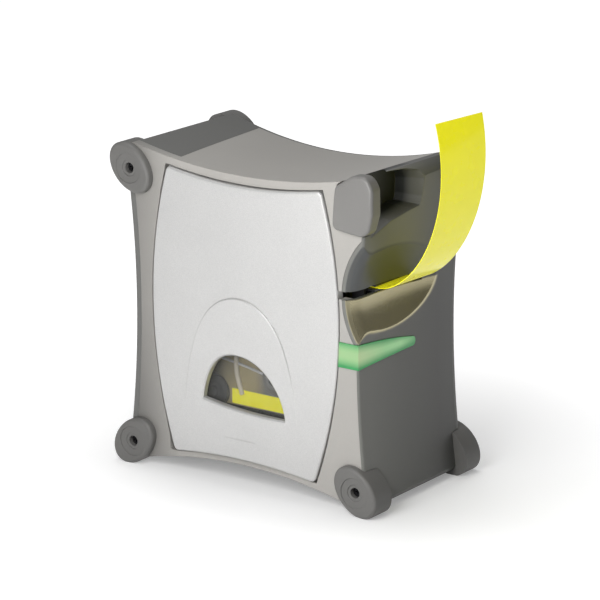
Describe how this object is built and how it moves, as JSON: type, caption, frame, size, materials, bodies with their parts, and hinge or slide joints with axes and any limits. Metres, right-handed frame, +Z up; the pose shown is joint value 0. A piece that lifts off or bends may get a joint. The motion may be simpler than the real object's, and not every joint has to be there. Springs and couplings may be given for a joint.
{
  "type": "label maker",
  "caption": "Upright desktop tape label printer with pinched two-tone housing, corner bumpers, silver hinged door with window, pull latch, side tape slot and printed tape.",
  "frame": {"origin": "middle of the overall box, the curling label included, at the height of the feet's flats", "axes": "+X to the right as the door is faced, +Y from the door to the back, +Z up"},
  "size_m": [0.162, 0.0826, 0.1686],
  "materials": {
    "dark_plastic": "fine moulded texture",
    "light_plastic": "fine moulded texture",
    "silver_paint": "satin silver paint on moulded plastic",
    "bumper_plastic": "soft matte",
    "knob_plastic": "satin moulded",
    "clear_lens": "clear polycarbonate",
    "green_pipe": "translucent green acrylic",
    "label_tape": "coated polyester tape",
    "steel": "turned or stamped steel",
    "black_steel": "blackened screw",
    "deck_plastic": "glass-filled moulding",
    "gear_plastic": "acetal",
    "roller_rubber": "ground rubber",
    "aluminium": "extruded",
    "bronze": "sintered bushes",
    "case_plastic": "moulded cassette tray",
    "tan_plastic": "translucent cassette cover",
    "ribbon_black": "wound ribbon",
    "board": "fibreglass board",
    "chip_black": "moulded packages",
    "lamp_white": "lamp packages"
  },
  "bodies": {
    "housing": {"light_pipe": "green_pipe", "left_shell": "dark_plastic", "right_shell": "dark_plastic", "top_cover": "light_plastic", "base_plate": "dark_plastic", "front_bezel": "light_plastic", "rear_cover": "dark_plastic", "rear_cover_screws": "black_steel", "front_foot_left": "bumper_plastic", "front_foot_right": "bumper_plastic", "front_bumper_left": "bumper_plastic", "rear_foot_left": "bumper_plastic", "rear_foot_right": "bumper_plastic", "rear_bumper_left": "bumper_plastic", "rear_bumper_right": "bumper_plastic", "corner_screws": "black_steel", "latch_pin": "steel", "label_strip": "label_tape", "mechanism_deck": "deck_plastic", "gear_pins": "steel", "feed_motor": "steel", "shaft_bearings": "bronze", "platen_bracket": "steel", "print_head": "chip_black", "head_heatsink": "aluminium", "cutter_anvil": "steel", "cutter_guide": "deck_plastic", "cutter_motor": "steel", "cassette_case": "case_plastic", "cassette_cover": "tan_plastic", "cassette_label": "label_tape", "feed_tape": "label_tape", "slot_guide": "chip_black", "lamp_board": "board", "indicator_lamps": "lamp_white", "main_board": "board", "board_screws": "steel", "board_components": "chip_black", "usb_socket": "steel", "dc_jack": "chip_black"},
    "door": {"door_panel": "silver_paint", "hinge_pins": "steel", "window_lens": "clear_lens"},
    "latch": {"latch_lever": "knob_plastic"},
    "supply_reel": {"tape_spool": "case_plastic", "tape_roll": "label_tape"},
    "ribbon_reel": {"ribbon_spool": "case_plastic", "ribbon_roll": "ribbon_black"},
    "takeup_reel": {"takeup_spool": "case_plastic", "takeup_spindle": "gear_plastic"},
    "platen": {"platen_shaft": "steel", "platen_rubber": "roller_rubber", "platen_gear": "gear_plastic"},
    "reduction": {"reduction_gear": "gear_plastic"},
    "idler": {"idler_gear": "gear_plastic"},
    "feed_rotor": {"feed_pinion": "steel"},
    "cutter": {"cutter_blade": "steel", "cutter_rack": "gear_plastic"},
    "cutter_wheel": {"cutter_gear": "gear_plastic"},
    "cutter_rotor": {"cutter_pinion": "steel"}
  },
  "joints": [
    {"name": "door_swing", "type": "hinge", "parent": "housing", "child": "door", "pos_m": [-0.04723, -0.03503, -0.00035], "axis": [0, 0, -1], "range_deg": [0, 105]},
    {"name": "latch_pull", "type": "hinge", "parent": "housing", "child": "latch", "pos_m": [0.03817, -0.03193, -0.00035], "axis": [0, 0, -1], "range_deg": [0, 12], "stiffness_Nm_per_rad": 0.2},
    {"name": "supply_spin", "type": "hinge", "parent": "housing", "child": "supply_reel", "pos_m": [-0.02635, 0.01247, 0.06719], "axis": [0, 1, 0], "continuous": true},
    {"name": "platen_spin", "type": "hinge", "parent": "housing", "child": "platen", "pos_m": [0.02477, 0.01247, 0.08739], "axis": [0, 1, 0], "continuous": true},
    {"name": "idler_spin", "type": "hinge", "parent": "housing", "child": "idler", "pos_m": [0.02065, 0.01247, 0.06619], "axis": [0, 1, 0], "continuous": true},
    {"name": "reduction_spin", "type": "hinge", "parent": "housing", "child": "reduction", "pos_m": [0.0268, 0.01247, 0.04885], "axis": [0, 1, 0], "continuous": true},
    {"name": "feed_motor_spin", "type": "hinge", "parent": "housing", "child": "feed_rotor", "pos_m": [0.03277, 0.01247, 0.03144], "axis": [0, 1, 0], "continuous": true},
    {"name": "takeup_spin", "type": "hinge", "parent": "housing", "child": "takeup_reel", "pos_m": [0.00065, 0.01247, 0.06619], "axis": [0, 1, 0], "continuous": true},
    {"name": "ribbon_spin", "type": "hinge", "parent": "housing", "child": "ribbon_reel", "pos_m": [-0.00335, 0.01247, 0.04419], "axis": [0, 1, 0], "continuous": true},
    {"name": "cutter_wheel_turn", "type": "hinge", "parent": "housing", "child": "cutter_wheel", "pos_m": [0.02707, 0.01247, 0.11144], "axis": [0, 1, 0], "range_deg": [0, 40]},
    {"name": "cutter_slide", "type": "slide", "parent": "housing", "child": "cutter", "axis": [0, 0, -1], "range_m": [0, 0.00559]},
    {"name": "cutter_motor_turn", "type": "hinge", "parent": "housing", "child": "cutter_rotor", "pos_m": [0.01507, 0.01247, 0.11144], "axis": [0, 1, 0], "range_deg": [-80, 0]}
  ],
  "couplings": [
    {"joint": "platen_spin", "follows": "supply_spin", "ratio": 2.75},
    {"joint": "idler_spin", "follows": "supply_spin", "ratio": -1.6176},
    {"joint": "reduction_spin", "follows": "supply_spin", "ratio": 4.5833},
    {"joint": "feed_motor_spin", "follows": "supply_spin", "ratio": -16.5},
    {"joint": "takeup_spin", "follows": "supply_spin", "ratio": 3.4375},
    {"joint": "ribbon_spin", "follows": "supply_spin", "ratio": 1.8333},
    {"joint": "cutter_wheel_turn", "follows": "cutter_slide", "rad_per_m": 125},
    {"joint": "cutter_motor_turn", "follows": "cutter_slide", "rad_per_m": -250}
  ]
}
